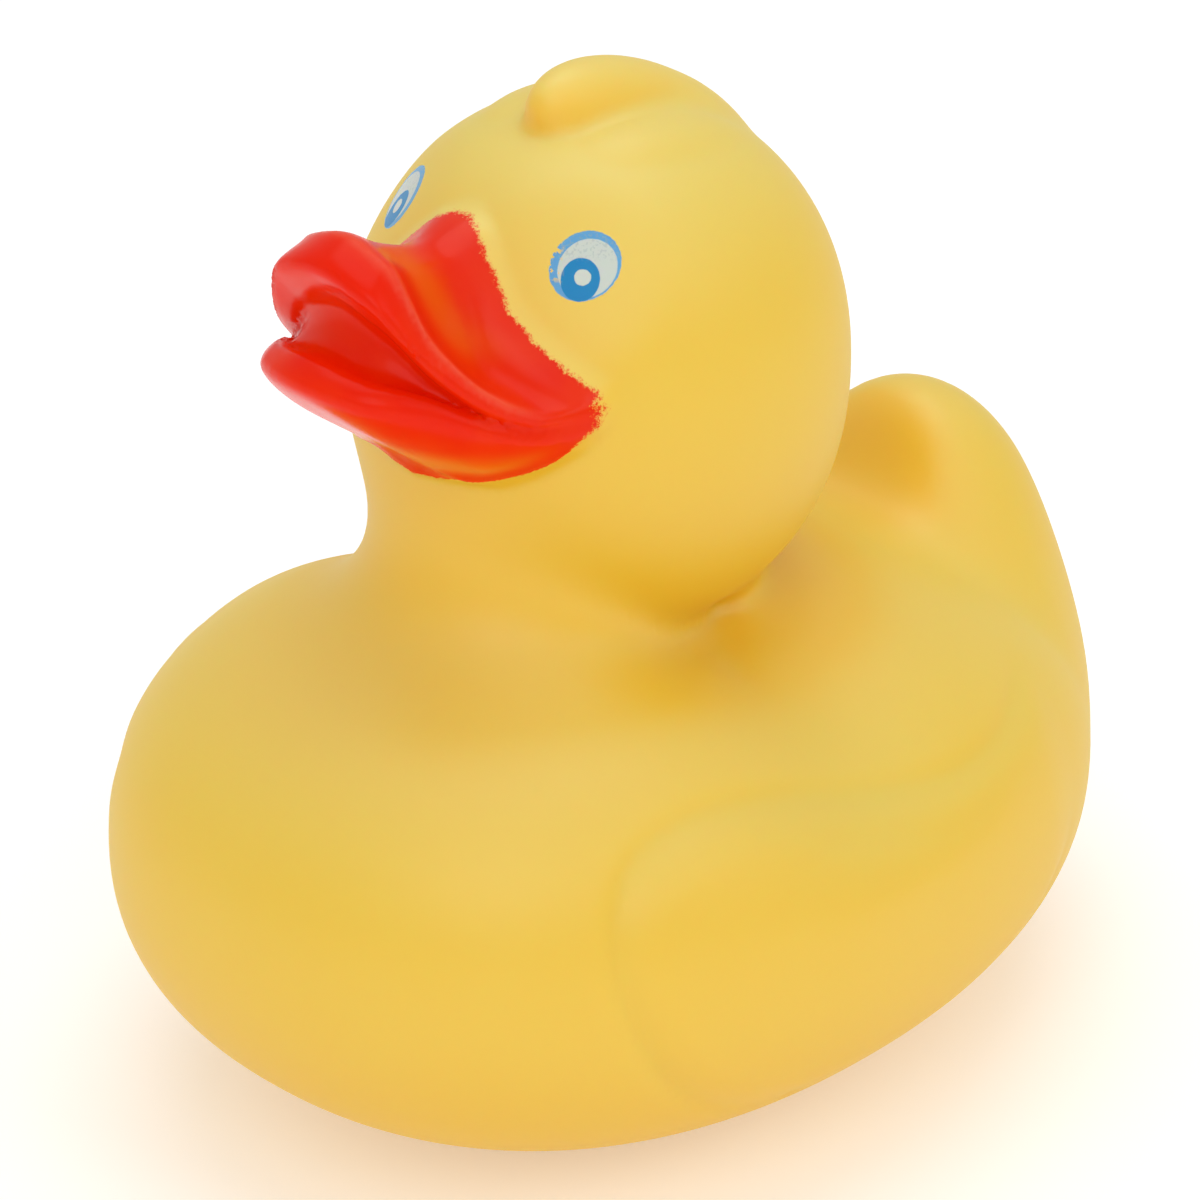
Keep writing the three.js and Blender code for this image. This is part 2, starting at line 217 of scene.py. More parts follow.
def trunk(points):
    """The egg with its saddle and wings, and the hollowed tail blended onto it."""
    tail = ellipsoid(points, TAIL_CENTRE, TAIL_HALF, TAIL_PITCH)
    tail_hollow = ellipsoid(points, TAIL_HOLLOW_CENTRE, TAIL_HOLLOW_HALF)
    tail = soft_max(tail, -tail_hollow, TAIL_HOLLOW_EDGE)
    saddle = SADDLE_DEPTH * bell(points[:, 1] - SADDLE_MIDDLE, SADDLE_LENGTH)
    body = egg(points) + saddle * smooth_step(points[:, 2], SADDLE_FOOT, SADDLE_FULL)
    further_back = smooth_step(points[:, 1], TAIL_BLEND_FROM, TAIL_BLEND_TO)
    blend = TAIL_BLEND + TAIL_BLEND_MORE_BEHIND * further_back
    return soft_min(body - wing_relief(points, np.abs(body) < SKIN_REACH), tail, blend)


print("wing outline has", len(WING_CURVE), "points")

# %% [markdown]
# ## Head, neck and crest
# The head is an egg standing on a short thick neck. On its crown lies a crest of three swept-back
# lobes, the middle one the highest. Small blends keep a crisp valley between the lobes. A slight
# flat on each side of the face gives the printed eyes an even ground.

# %% Head and crest fields
HEAD_CENTRE, HEAD_HALF, HEAD_SQUARENESS = (0, -2.8, 62.5), (19.7, 20.0, 22.3), 2.15
NECK_CENTRE, NECK_HALF, NECK_BLEND = (0, -12.9, 39.4), (10.3, 11.9, 22.6), 5.6
EYE_FLAT_CENTRE, EYE_FLAT_NORMAL = (10.06, -14.5, 76.98), (0.502, -0.642, 0.580)
EYE_FLAT_BLEND = 1.4
MIDDLE_LOBE = (0, 1.8, 80.3), (4.6, 13.0, 6.0), -28.5
SIDE_LOBE = (5.2, -1.2, 81.0), (4.1, 7.6, 3.1), -10
SIDE_LOBE_BLEND, MIDDLE_LOBE_BLEND, MIDDLE_LOBE_BLEND_MORE_BEHIND = 1.2, 1.1, 1.3
LOBE_FRONT, LOBE_BACK = 1, 8


def skull(points):
    """The head's egg with the eye flats, blended into the neck."""
    half, n = np.array(HEAD_HALF), HEAD_SQUARENESS
    a = np.abs(points - np.array(HEAD_CENTRE)) / half + TINY
    size = (a**n).sum(axis=1) ** (1 / n)
    egg_field = (size - 1) / np.linalg.norm((a / size[:, None]) ** (n - 1) / half, axis=1)
    flat = (mirrored(points) - np.array(EYE_FLAT_CENTRE)) @ np.array(EYE_FLAT_NORMAL)
    egg_field = soft_max(egg_field, flat, EYE_FLAT_BLEND)
    return soft_min(egg_field, ellipsoid(points, NECK_CENTRE, NECK_HALF), NECK_BLEND)


def crested(points, skull_field):
    """The skull with the crest's three lobes blended on."""
    made = soft_min(skull_field, ellipsoid(mirrored(points), *SIDE_LOBE), SIDE_LOBE_BLEND)
    further_back = smooth_step(points[:, 1], LOBE_FRONT, LOBE_BACK)
    blend = MIDDLE_LOBE_BLEND + MIDDLE_LOBE_BLEND_MORE_BEHIND * further_back
    return soft_min(made, ellipsoid(points, *MIDDLE_LOBE), blend)


print("head centre:", HEAD_CENTRE)

# %% [markdown]
# ## The beak
# The bill flares like a spoon: a saddle between two raised rims, an upper lip that curls up, a
# narrow mouth with the tongue lying in it and a full lower lip. Seen from above it is a fan, so we
# draw its outline in upright planes that turn about a vertical axis inside the head. Each station
# gives the angle from straight ahead in degrees and the outline as (reach from the axis, height)
# points: brow, slope, trough, rim (two points close together, for a crisp edge), upper lip, the
# lip's underside, roof, tongue, valley, lower lip, its front, its underside and the chin. Between
# stations the points glide smoothly.

# %% Beak stations
BEAK_AXIS = -15.2
BEAK_STATIONS = {
    0: [(3, 78.3), (7, 78.0), (11, 79.3), (13.8, 80.9), (15.2, 80.9), (17.6, 79.4), (16.6, 77.2),
        (15.0, 75.2), (15.4, 73.2), (16.8, 72.0), (18.6, 71.9), (20.0, 70.1), (16.9, 66.8),
        (10.3, 61.9)],
    16: [(3, 78.3), (7.2, 77.4), (11.5, 78.1), (14.4, 79.8), (15.7, 79.4), (17.8, 77.9),
         (16.6, 75.7), (15.0, 73.8), (15.3, 72.2), (16.5, 71.1), (18.2, 71.1), (19.3, 69.4),
         (16.5, 66.0), (10.4, 61.5)],
    32: [(3, 78.2), (7.4, 75.3), (12, 73.3), (15.3, 73.8), (15.6, 73.7), (16.7, 72.5), (15.8, 71.2),
         (14.9, 70.4), (14.9, 69.8), (15.2, 69.4), (16.1, 69.7), (16.9, 68.2), (14.9, 64.7),
         (10.3, 60.9)],
    48: [(3.2, 77.6), (7.8, 72.8), (11.6, 70), (15, 69.75), (15.2, 69.6), (15.6, 68.9),
         (15.3, 68.2), (14.95, 67.9), (14.9, 67.8), (14.95, 67.7), (15.3, 67.4), (15.6, 66.4),
         (13.8, 63.3), (10, 60.6)],
    64: [(3.4, 76.4), (7.9, 71.8), (11.4, 69.3), (14.85, 67.8), (14.95, 67.7), (15.2, 67.3),
         (15, 66.9), (14.8, 66.7), (14.8, 66.6), (14.8, 66.5), (15, 66.1), (15, 65.3),
         (13.4, 63.2), (10.4, 61.1)],
    80: [(3, 73.1), (8, 71.4), (12, 69.1), (14.25, 67.6), (14.35, 67.5), (14.5, 67.1),
         (14.4, 66.8), (14.3, 66.7), (14.3, 66.6), (14.3, 66.5), (14.2, 66.1), (14, 65.5),
         (13, 64.1), (10.6, 62.6)],
    92: [(3, 72.1), (8, 71.1), (11, 69.1), (12.45, 68.2), (12.5, 68.1), (12.6, 67.5),
         (12.6, 67.3), (12.6, 67.1), (12.6, 67), (12.6, 66.9), (12.6, 66.5), (12.6, 65.9),
         (11.8, 65.1), (10, 64.1)],
}
INSIDE_TOP, INSIDE_BOTTOM = (-8, 76.1), (-8, 60.1)


def glide(knots, values, at):
    """Smooth curve through values (first axis) at knots, never overshooting, read at positions at."""
    knots, steps = np.asarray(knots, float), np.diff(knots)
    rise = np.diff(values, axis=0) / steps.reshape(-1, *[1] * (values.ndim - 1))
    low, high = rise[:-1], rise[1:]
    safe = np.where(low * high > 0, low + high, 1.0)
    inner = np.where(low * high > 0, 2 * low * high / safe, 0.0)
    slope = np.concatenate([rise[:1], inner, rise[-1:]])
    i = np.clip(np.searchsorted(knots, at, side="right") - 1, 0, len(steps) - 1)
    shape = (-1,) + (1,) * (values.ndim - 1)
    h = steps[i].reshape(shape)
    t = ((at - knots[i]) / steps[i]).reshape(shape)
    return ((1 + 2 * t) * (1 - t) ** 2 * values[i] + t * (1 - t) ** 2 * h * slope[i]
            + t * t * (3 - 2 * t) * values[i + 1] + t * t * (t - 1) * h * slope[i + 1])


def through(points, per_span):
    """A rounded line through points (first axis), with per_span samples from each to the next."""
    padded = np.concatenate([[2 * points[0] - points[1]], points, [2 * points[-1] - points[-2]]])
    line = []
    for p0, p1, p2, p3 in zip(padded, padded[1:], padded[2:], padded[3:]):
        for t in np.arange(per_span) / per_span:
            line.append(0.5 * (2 * p1 + (p2 - p0) * t + (2 * p0 - 5 * p1 + 4 * p2 - p3) * t * t
                               + (3 * p1 - p0 - 3 * p2 + p3) * t**3))
    return np.array(line + [points[-1]])


SAMPLES_PER_SPAN = 7
angles = np.array(list(BEAK_STATIONS), float)
shapes = np.array(list(BEAK_STATIONS.values()))
all_angles = np.concatenate([-angles[:0:-1], angles])
all_shapes = np.concatenate([shapes[:0:-1], shapes])
LAST_DEGREE = max(BEAK_STATIONS)
SHAPE_PER_DEGREE = glide(all_angles, all_shapes, np.arange(LAST_DEGREE + 1.0))
BEAK_OUTLINES = np.array([np.concatenate([[INSIDE_TOP], through(shape, SAMPLES_PER_SPAN), [INSIDE_BOTTOM]])
                          for shape in SHAPE_PER_DEGREE])
print("beak outlines:", BEAK_OUTLINES.shape)

# %% [markdown]
# ## The beak's field and its painted root
# A point near the beak is measured against the outline of its own plane, read between the two
# nearest degrees. Under the bill lies a thin cushion of vinyl, as large as the area that is
# sprayed, and its outline is also the edge of the paint. It is drawn as seen from the front, in
# (x, z) points down the duck's left side, and mirrored.

# %% Beak field
BEAK_REACH, BEAK_MIDDLE, BEAK_HALF_HEIGHT, BEAK_BACK = 22, 70, 12, -1
BEAK_MARGIN, BEAK_FAR, BEAK_CHUNK = 4, 3.0, 20000
BEAK_BLEND, BILL_BLEND = 2.2, 0.9
ROOT_MIDDLE, ROOT_HALF_HEIGHT, ROOT_BACK, ROOT_REACH = 69, 14, -8, 4
ROOT_RISE, ROOT_ROUND = 0.8, 1.6
PAINT_OUTLINE = [(0, 79.3), (1.0, 79.2), (2.3, 78.6), (3.6, 77.4), (5.1, 75.9), (7.1, 73.8),
                 (9.4, 72.0), (12.7, 69.8), (14.3, 68.7), (14.9, 67.4), (14.8, 65.9), (13.5, 64.1),
                 (11.9, 63.0), (10.2, 61.9), (8.4, 61.1), (5.4, 60.1), (2.5, 59.4), (0, 59.1)]
PAINT_LOOP = PAINT_OUTLINE + [(-x, z) for x, z in PAINT_OUTLINE[-2:0:-1]]


def outline_distances(points, outlines):
    """Signed distance of each point from its own closed outline, negative inside."""
    best = np.full(len(points), 1e9)
    sign = np.ones(len(points))
    for i in range(outlines.shape[1]):
        a, b = outlines[:, i], outlines[:, i - 1]
        e, w = b - a, points - a
        t = np.clip((w * e).sum(axis=1) / np.maximum((e * e).sum(axis=1), 1e-9), 0, 1)
        gap = w - e * t[:, None]
        best = np.minimum(best, (gap * gap).sum(axis=1))
        above, below = points[:, 1] >= a[:, 1], points[:, 1] < b[:, 1]
        left = e[:, 0] * w[:, 1] > e[:, 1] * w[:, 0]
        sign = np.where((above & below & left) | ~(above | below | left), -sign, sign)
    return sign * np.sqrt(best)


def round_the_axis(points):
    """Reach from the beak's upright axis and degrees from straight ahead, the same on both sides."""
    reach = np.hypot(points[:, 0], points[:, 1] - BEAK_AXIS)
    angle = np.degrees(np.arctan2(np.abs(points[:, 0]), BEAK_AXIS - points[:, 1]))
    return reach, angle


def beak(points):
    """The bill's field: exact close to it, a rough distance farther away."""
    reach, angle = round_the_axis(points)
    off_middle = np.abs(points[:, 2] - BEAK_MIDDLE)
    beyond = np.maximum(reach - BEAK_REACH, off_middle - BEAK_HALF_HEIGHT)
    made = np.maximum(beyond, BEAK_FAR)
    near = np.flatnonzero((beyond < BEAK_MARGIN) & (points[:, 1] < BEAK_BACK))
    for part in np.array_split(near, len(near) // BEAK_CHUNK + 1):
        turn = np.clip(angle[part], 0, LAST_DEGREE - 0.001)
        whole = turn.astype(int)
        share = (turn - whole)[:, None, None]
        outlines = BEAK_OUTLINES[whole] * (1 - share) + BEAK_OUTLINES[whole + 1] * share
        made[part] = outline_distances(np.stack([reach[part], points[part, 2]], axis=1), outlines)
    return made


def beak_root(points, skull_field):
    """A thin cushion on the skull under the bill, as large as the painted area."""
    edge = np.full(len(points), FAR_AWAY)
    level_with_it = np.abs(points[:, 2] - ROOT_MIDDLE) < ROOT_HALF_HEIGHT
    on_the_face = (points[:, 1] < ROOT_BACK) & level_with_it
    near = np.flatnonzero((np.abs(skull_field) < ROOT_REACH) & on_the_face)
    edge[near] = outline_distance(points[near][:, ::2], PAINT_LOOP)
    return soft_max(skull_field - ROOT_RISE, edge, ROOT_ROUND)


def head(points):
    """Skull, neck, crest and beak together."""
    skull_field = skull(points)
    bill = soft_min(beak_root(points, skull_field), beak(points), BEAK_BLEND)
    return soft_min(crested(points, skull_field), bill, BILL_BLEND)


print("the paint's outline has", len(PAINT_LOOP), "points")

# %% [markdown]
# ## The whole duck
# Head and trunk meet in a fillet that is broad in front, narrow at the sides and a little broader
# again behind the neck. The mould leaves a dimple on each side where neck, shoulder and back meet,
# and three small dents, each given by its place, its depth and its radius. The base is cut flat.

# %% Whole duck field
POCKET_START, POCKET_END = (10.8, 0.2, 42.6), (16.5, -3.0, 41.4)
POCKET_DEPTH, POCKET_WIDTH = 0.45, 1.9
SHOULDER_BLEND, SHOULDER_MORE_IN_FRONT, SHOULDER_FRONT, SHOULDER_SIDE = 3.0, 5.5, -20, -2
SHOULDER_MORE_BEHIND, NAPE_MIDDLE, NAPE_LENGTH = 2.6, 4, 6
DENTS = [((-23.4, -34.9, 29.4), 0.35, 2.0),
         ((29.1, -10.2, 8.9), 0.25, 0.7),
         ((0.3, 30.6, 48.2), 0.2, 0.4)]
BASE_ROUND = 0.6


def pocket(points):
    """How deep the dimple where neck, shoulder and back meet is at each point."""
    start, end = np.array(POCKET_START), np.array(POCKET_END)
    from_start = mirrored(points) - start
    share = np.clip(from_start @ (end - start) / ((end - start) @ (end - start)), 0, 1)
    gap = np.linalg.norm(from_start - share[:, None] * (end - start), axis=1)
    return POCKET_DEPTH * bell(gap, POCKET_WIDTH)


def shoulder_blend(points):
    """How wide the fillet between neck and trunk is at each point."""
    behind = SHOULDER_MORE_BEHIND * bell(points[:, 1] - NAPE_MIDDLE, NAPE_LENGTH)
    in_front = SHOULDER_MORE_IN_FRONT * fade_out(points[:, 1], SHOULDER_FRONT, SHOULDER_SIDE)
    return SHOULDER_BLEND + in_front + behind


def dents(points):
    """How deep the small dents are at each point."""
    return sum(depth * bell(np.linalg.norm(points - np.array(at), axis=1), radius)
               for at, depth, radius in DENTS)


def duck(points):
    """The outside of the whole duck."""
    made = soft_min(trunk(points), head(points), shoulder_blend(points))
    made = made + pocket(points) + dents(points)
    return soft_max(made, -points[:, 2], BASE_ROUND)


print("field at the head's centre:", duck(np.array([HEAD_CENTRE], float)))

# %% [markdown]
# ## From field to mesh
# A *surface net* turns the field into a mesh: space is cut into cells, each cell that the surface
# crosses gets one vertex, and each crossed cell edge gets one square face. The cells are finer
# around the face, where the beak and crest have small radii. Afterwards every vertex is pulled
# along the field's slope until it lies on the surface, so the mesh is smooth and exact.

# %% Surface net
def spaced(low, high, fine_low, fine_high, coarse, fine):
    """Grid lines that are close together between fine_low and fine_high."""
    before = np.linspace(low, fine_low, math.ceil((fine_low - low) / coarse) + 1)[:-1]
    middle = np.linspace(fine_low, fine_high, math.ceil((fine_high - fine_low) / fine) + 1)
    after = np.linspace(fine_high, high, math.ceil((high - fine_high) / coarse) + 1)[1:]
    return np.concatenate([before, middle, after])


def slope_of(field, points, reach=0.02):
    """How fast the field rises along X, Y and Z at each point."""
    return np.stack([(field(points + step) - field(points - step)) / (2 * reach)
                     for step in np.eye(3) * reach], axis=1)


PULLS, LONGEST_PULL, SMALLEST_SLOPE = 3, 0.4, 0.05


def surface_net(field, lines):
    """Vertices and four-cornered faces, pointing outwards, where the field is 0."""
    xs, ys, zs = lines
    size = [len(line) for line in lines]
    yz = np.stack(np.meshgrid(ys, zs, indexing="ij"), axis=-1).reshape(-1, 2)
    values = np.empty(size, np.float32)
    for i, x in enumerate(xs):
        values[i] = field(np.column_stack([np.full(len(yz), x), yz])).reshape(size[1:])
    inside = values < 0
    corners = [(a, b, c) for a in (0, 1) for b in (0, 1) for c in (0, 1)]
    cut = [slice(0, -1), slice(1, None)]
    count = sum(inside[cut[a], cut[b], cut[c]].astype(np.int8) for a, b, c in corners)
    cells = np.argwhere((count > 0) & (count < 8))
    total, hits = np.zeros((len(cells), 3)), np.zeros(len(cells))
    for start in corners:
        for axis in range(3):
            if start[axis]:
                continue
            a = cells + start
            b = a.copy()
            b[:, axis] += 1
            va, vb = values[tuple(a.T)], values[tuple(b.T)]
            crossed = (va < 0) != (vb < 0)
            share = np.where(crossed, va / np.where(va == vb, 1, va - vb), 0)[:, None]
            pa = np.stack([line[k] for line, k in zip(lines, a.T)], axis=1)
            pb = np.stack([line[k] for line, k in zip(lines, b.T)], axis=1)
            total[crossed] += (pa + share * (pb - pa))[crossed]
            hits[crossed] += 1
    points = total / hits[:, None]
    for _ in range(PULLS):
        slope = slope_of(field, points)
        steepness = np.maximum((slope**2).sum(axis=1), SMALLEST_SLOPE)
        pull = field(points)[:, None] * slope / steepness[:, None]
        points -= np.clip(pull, -LONGEST_PULL, LONGEST_PULL)
    number = np.full([n - 1 for n in size], -1)
    number[tuple(cells.T)] = np.arange(len(cells))
    quads = []
    for axis in range(3):
        u, v = (axis + 1) % 3, (axis + 2) % 3
        lower, upper = [slice(1, -1)] * 3, [slice(1, -1)] * 3
        lower[axis], upper[axis] = slice(0, -1), slice(1, None)
        first, second = inside[tuple(lower)], inside[tuple(upper)]
        where = np.argwhere(first != second)
        starts_inside = first[tuple(where.T)]
        where[:, [k for k in range(3) if k != axis]] += 1
        ring = []
        for m, n in ((0, 0), (1, 0), (1, 1), (0, 1)):
            cell = where.copy()
            cell[:, u] -= m
            cell[:, v] -= n
            ring.append(number[tuple(cell.T)])
        ring = np.stack(ring, axis=1)
        ring[~starts_inside] = ring[~starts_inside, ::-1]
        quads.append(ring)
    return points, np.concatenate(quads)


COARSE, FINE = 0.95, 0.46
SKIN_GRID = (spaced(-37, 37, -17, 17, COARSE, FINE),
             spaced(-48, 51, -39, 8, COARSE, FINE),
             spaced(-3, 92, 57, 91, COARSE, FINE))
skin_points, skin_quads = surface_net(duck, SKIN_GRID)
print("skin:", len(skin_points), "vertices,", len(skin_quads), "faces")

# %% [markdown]
# ## Fitting the drawing to the CAD box
# Our drawing is in millimetres about the drawing's own origin. One scale and one shift along each
# axis put it exactly in the box of the CAD node, so that Blender never changes the object's size.
# The scales come out within half a percent of true, and the only shift is about 2 mm along Y.

# %% Fit to the CAD node
box_low, box_high = (np.array(corner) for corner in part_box("duck_body"))
drawn_low, drawn_high = skin_points.min(axis=0), skin_points.max(axis=0)
fit_scale = (box_high - box_low) / (drawn_high - drawn_low)
fit_shift = box_low - drawn_low * fit_scale


def placed(points):
    """Drawing millimetres to metres in the shared frame."""
    return np.asarray(points, float) * fit_scale + fit_shift


def drawn(points):
    """Metres in the shared frame to drawing millimetres."""
    return (np.asarray(points, float) - fit_shift) / fit_scale


print("scale per axis (1000 mm to the metre):", fit_scale * 1000, "shift in mm:", fit_shift * 1000)


# %% Mesh helper
def mesh_object(name, points, faces):
    """A new smooth-shaded object at the origin from vertices and faces."""
    mesh = bpy.data.meshes.new(name)
    mesh.from_pydata([tuple(p) for p in points], [], [tuple(f) for f in faces])
    mesh.validate()
    piece = bpy.data.objects.new(name, mesh)
    bpy.context.scene.collection.objects.link(piece)
    mesh.shade_smooth()
    return piece


print("mesh helper ready")

# %% [markdown]
# ## Hollow inside, with a seat for the squeaker
# The toy is a shell about 1.8 mm thick. Its inner wall is a second, coarser surface net, turned
# inside out. Beak and crest are left out of it, so they are solid. A thick ring stands on the
# inside of the base, round the squeaker's hole, and from below the hole has a recess for the plug's
# flange. Hole and recess are turned from one outline and cut out with a Boolean modifier. The seat
# sits exactly on the axis of the CAD plug.

# %% Inner wall
WALL, INNER_CORNER = 1.8, 1.0
SEAT_RECESS, SEAT_RECESS_DEPTH, SEAT_HOLE = 7.5, 1.6, 5.5
SEAT_RING, SEAT_TOP, SEAT_RING_FILLET = 9.5, 3.4, 0.4
plug_low, plug_high = (np.array(corner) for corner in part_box("squeaker_plug"))
seat_axis = (plug_low + plug_high) / 2
seat_x, seat_y, _ = drawn(seat_axis)


def hollow(points):
    """The air inside: the outer shape less the wall and the ring of the seat."""
    inner = soft_min(trunk(points), skull(points), shoulder_blend(points)) + pocket(points) + WALL
    inner = soft_max(inner, WALL - points[:, 2], INNER_CORNER)
    from_axis = np.hypot(points[:, 0] - seat_x, points[:, 1] - seat_y)
    ring = np.maximum(from_axis - SEAT_RING, points[:, 2] - SEAT_TOP)
    return soft_max(inner, -ring, SEAT_RING_FILLET)


INNER_COARSE = 2.2
INNER_GRID = (spaced(-36, 36, -11, 11, INNER_COARSE, 0.9),
              spaced(-47, 50, -10, 12, INNER_COARSE, 0.9),
              spaced(0, 88, 1, 5, INNER_COARSE, 0.7))
inner_points, inner_quads = surface_net(hollow, INNER_GRID)
print("inner wall:", len(inner_points), "vertices")


# %% Shell with its seat cut
def turned(name, outline, centre, segments=96):
    """A solid turned about an upright axis from (radius, height) points in millimetres."""
    turns = np.arange(segments) * 2 * math.pi / segments
    points = [(centre[0] + r * math.cos(t) / 1000, centre[1] + r * math.sin(t) / 1000, z / 1000)
              for r, z in outline for t in turns]
    faces = []
    for ring in range(0, (len(outline) - 1) * segments, segments):
        for i in range(segments):
            after = (i + 1) % segments
            faces.append((ring + i, ring + after, ring + segments + after, ring + segments + i))
    last = (len(outline) - 1) * segments
    faces += [tuple(reversed(range(segments))), tuple(range(last, last + segments))]
    return mesh_object(name, points, faces)


SHARP_ANGLE = 60
both_points = np.concatenate([placed(skin_points), placed(inner_points)])
both_faces = skin_quads.tolist() + (inner_quads[:, ::-1] + len(skin_points)).tolist()
vinyl_duck = mesh_object("vinyl_duck", both_points, both_faces)
SEAT_OUTLINE = [(SEAT_RECESS + 1.4, -1), (SEAT_RECESS + 0.4, 0), (SEAT_RECESS + 0.12, 0.12),
                (SEAT_RECESS, 0.4), (SEAT_RECESS, SEAT_RECESS_DEPTH), (SEAT_HOLE, SEAT_RECESS_DEPTH),
                (SEAT_HOLE, SEAT_TOP + 1)]
seat_cutter = turned("seat_cutter", SEAT_OUTLINE, seat_axis)
cut = vinyl_duck.modifiers.new("seat", "BOOLEAN")
cut.operation, cut.solver, cut.object = "DIFFERENCE", "EXACT", seat_cutter
depsgraph = bpy.context.evaluated_depsgraph_get()
cut_mesh = bpy.data.meshes.new_from_object(vinyl_duck.evaluated_get(depsgraph))
vinyl_duck.modifiers.clear()
vinyl_duck.data = cut_mesh
cut_mesh.set_sharp_from_angle(angle=math.radians(SHARP_ANGLE))
bpy.data.objects.remove(seat_cutter)
triangles = sum(len(face.vertices) - 2 for face in cut_mesh.polygons)
print(vinyl_duck.name, len(cut_mesh.polygons), "faces,", triangles, "triangles")

# %% [markdown]
# ## Node helpers
# Each finish is a small tree of shader nodes. These helpers add a node and fill its inputs in one
# line: a plain value is set on the socket, and another node's output is linked to it.

# %% Node helpers
def fill(tree, socket, value):
    """Links another node's output to a socket, or sets a plain value on it."""
    if isinstance(value, bpy.types.NodeSocket):
        tree.links.new(value, socket)
    else:
        socket.default_value = value


def add(tree, kind, inputs=None, **settings):
    """A new shader node with its settings and inputs filled."""
    node = tree.nodes.new("ShaderNode" + kind)
    for name, value in settings.items():
        setattr(node, name, value)
    for name, value in (inputs or {}).items():
        fill(tree, node.inputs[name], value)
    return node


def calc(tree, operation, *values):
    """A Math node's result."""
    return add(tree, "Math", dict(enumerate(values)), operation=operation).outputs[0]


def ramp(tree, value, low, high, start=0.0, end=1.0):
    """value carried from low..high to start..end with soft ends."""
    return add(tree, "MapRange", {"Value": value, "From Min": low, "From Max": high, "To Min": start,
                                  "To Max": end}, interpolation_type="SMOOTHSTEP").outputs[0]


def mix(tree, share, first, second):
    """The first colour where share is 0, the second where it is 1."""
    node = tree.nodes.new("ShaderNodeMix")
    node.data_type = "RGBA"
    sockets = [s for s in node.inputs if s.enabled and s.name in ("Factor", "A", "B")]
    for socket, value in zip(sockets, (share, first, second)):
        fill(tree, socket, value)
    return [s for s in node.outputs if s.enabled][0]


def stored(tree, name):
    """The value of one of the mesh's own attributes."""
    return add(tree, "Attribute", attribute_name=name).outputs["Fac"]


def tint(red, green, blue):
    """A screen colour (0 to 255) as the linear colour that shaders use."""
    linear = [c / 255 / 12.92 if c <= 10 else ((c / 255 + 0.055) / 1.055) ** 2.4
              for c in (red, green, blue)]
    return tuple(linear) + (1.0,)


def new_finish(name):
    """An empty material with one Principled shader, its node tree and that shader."""
    material = bpy.data.materials.new(name)
    material.use_nodes = True
    tree = material.node_tree
    tree.nodes.clear()
    shader = tree.nodes.new("ShaderNodeBsdfPrincipled")
    output = tree.nodes.new("ShaderNodeOutputMaterial")
    tree.links.new(shader.outputs[0], output.inputs["Surface"])
    return material, tree, shader


print("node helpers ready")

# %% [markdown]
# ## Where the paint lies, and where light and shade are painted
# The material needs to know things about the shape, so we store them as mesh attributes. The beak
# is masked and sprayed: *paint_edge* is the distance from the mask's edge, in millimetres and
# positive on bare vinyl, so that the material can draw a sharp but slightly ragged edge at any
# scale. Another attribute says where the lacquer turns orange, and another marks the crisp rim
# of the bill, where a pale highlight is painted. One is high where the vinyl faces up into open
# air, for a paler, painted sheen, and the last is high where it faces down, for a painted shade.

# %% Surface attributes
PAINT_BACK, BILL_BACK, BILL_HALF_HEIGHT, BILL_STARTS = -6, -10, 15, 1.2
# The lacquer turns orange in the bill's saddle and low under the bill, but stays red near the mask's edge.
ORANGE_SADDLE_REACH, ORANGE_SADDLE_WIDTH, ORANGE_IN_SADDLE = 10.6, 2.0, 0.55
ORANGE_SADDLE_FOOT, ORANGE_SADDLE_TOP, ORANGE_BELOW = (70, 73), (78, 80.5), (62.5, 65.5)
RED_NEAR_EDGE = (-2.0, -0.4)
# The bill's rim gets a pale line painted on as a highlight.
RIM_HIGHLIGHT_WIDTH, RIM_HIGHLIGHT_ENDS = 0.5, (50, 70)
# A paler sheen is painted on up-facing vinyl, most on the head, and kept out of the hollows.
AIR_DISTANCES, AIR_BLEND = (8, 14, 20, 26), 8.0
SHEEN_ON_BACK, SHEEN_MORE_ON_HEAD, HEAD_STARTS, HEAD_FULL = 0.6, 0.4, 48, 62


def paint_distance(points):
    """Millimetres from the sprayed area, as seen from the front; negative on the paint."""
    edge = outline_distance(points[:, ::2], PAINT_LOOP)
    level_with_bill = np.abs(points[:, 2] - ROOT_MIDDLE) < BILL_HALF_HEIGHT
    bill_side = (points[:, 1] < BILL_BACK) & level_with_bill
    off_the_skull = np.where(bill_side, BILL_STARTS - skull(points), FAR_AWAY)
    return np.where(points[:, 1] > PAINT_BACK, FAR_AWAY, np.minimum(edge, off_the_skull))


def orange_share(points):
    """Where the lacquer turns orange: in the bill's saddle and low under the bill, not near its edge."""
    reach, _ = round_the_axis(points)
    height = points[:, 2]
    saddle = bell(reach - ORANGE_SADDLE_REACH, ORANGE_SADDLE_WIDTH)
    saddle = saddle * smooth_step(height, *ORANGE_SADDLE_FOOT)
    saddle = ORANGE_IN_SADDLE * saddle * fade_out(height, *ORANGE_SADDLE_TOP)
    below = fade_out(height, *ORANGE_BELOW)
    return np.maximum(saddle, below) * fade_out(paint_distance(points), *RED_NEAR_EDGE)


def rim_highlight(points):
    """Where a highlight is painted: 1 on the bill's crisp rim, fading to 0 beside it and to the corners."""
    reach, angle = round_the_axis(points)
    rim_points = SHAPE_PER_DEGREE[np.clip(angle, 0, LAST_DEGREE).astype(int), 3:5]
    rim = rim_points.mean(axis=1)
    gap = np.hypot(reach - rim[:, 0], points[:, 2] - rim[:, 1])
    return bell(gap, RIM_HIGHLIGHT_WIDTH) * fade_out(angle, *RIM_HIGHLIGHT_ENDS)


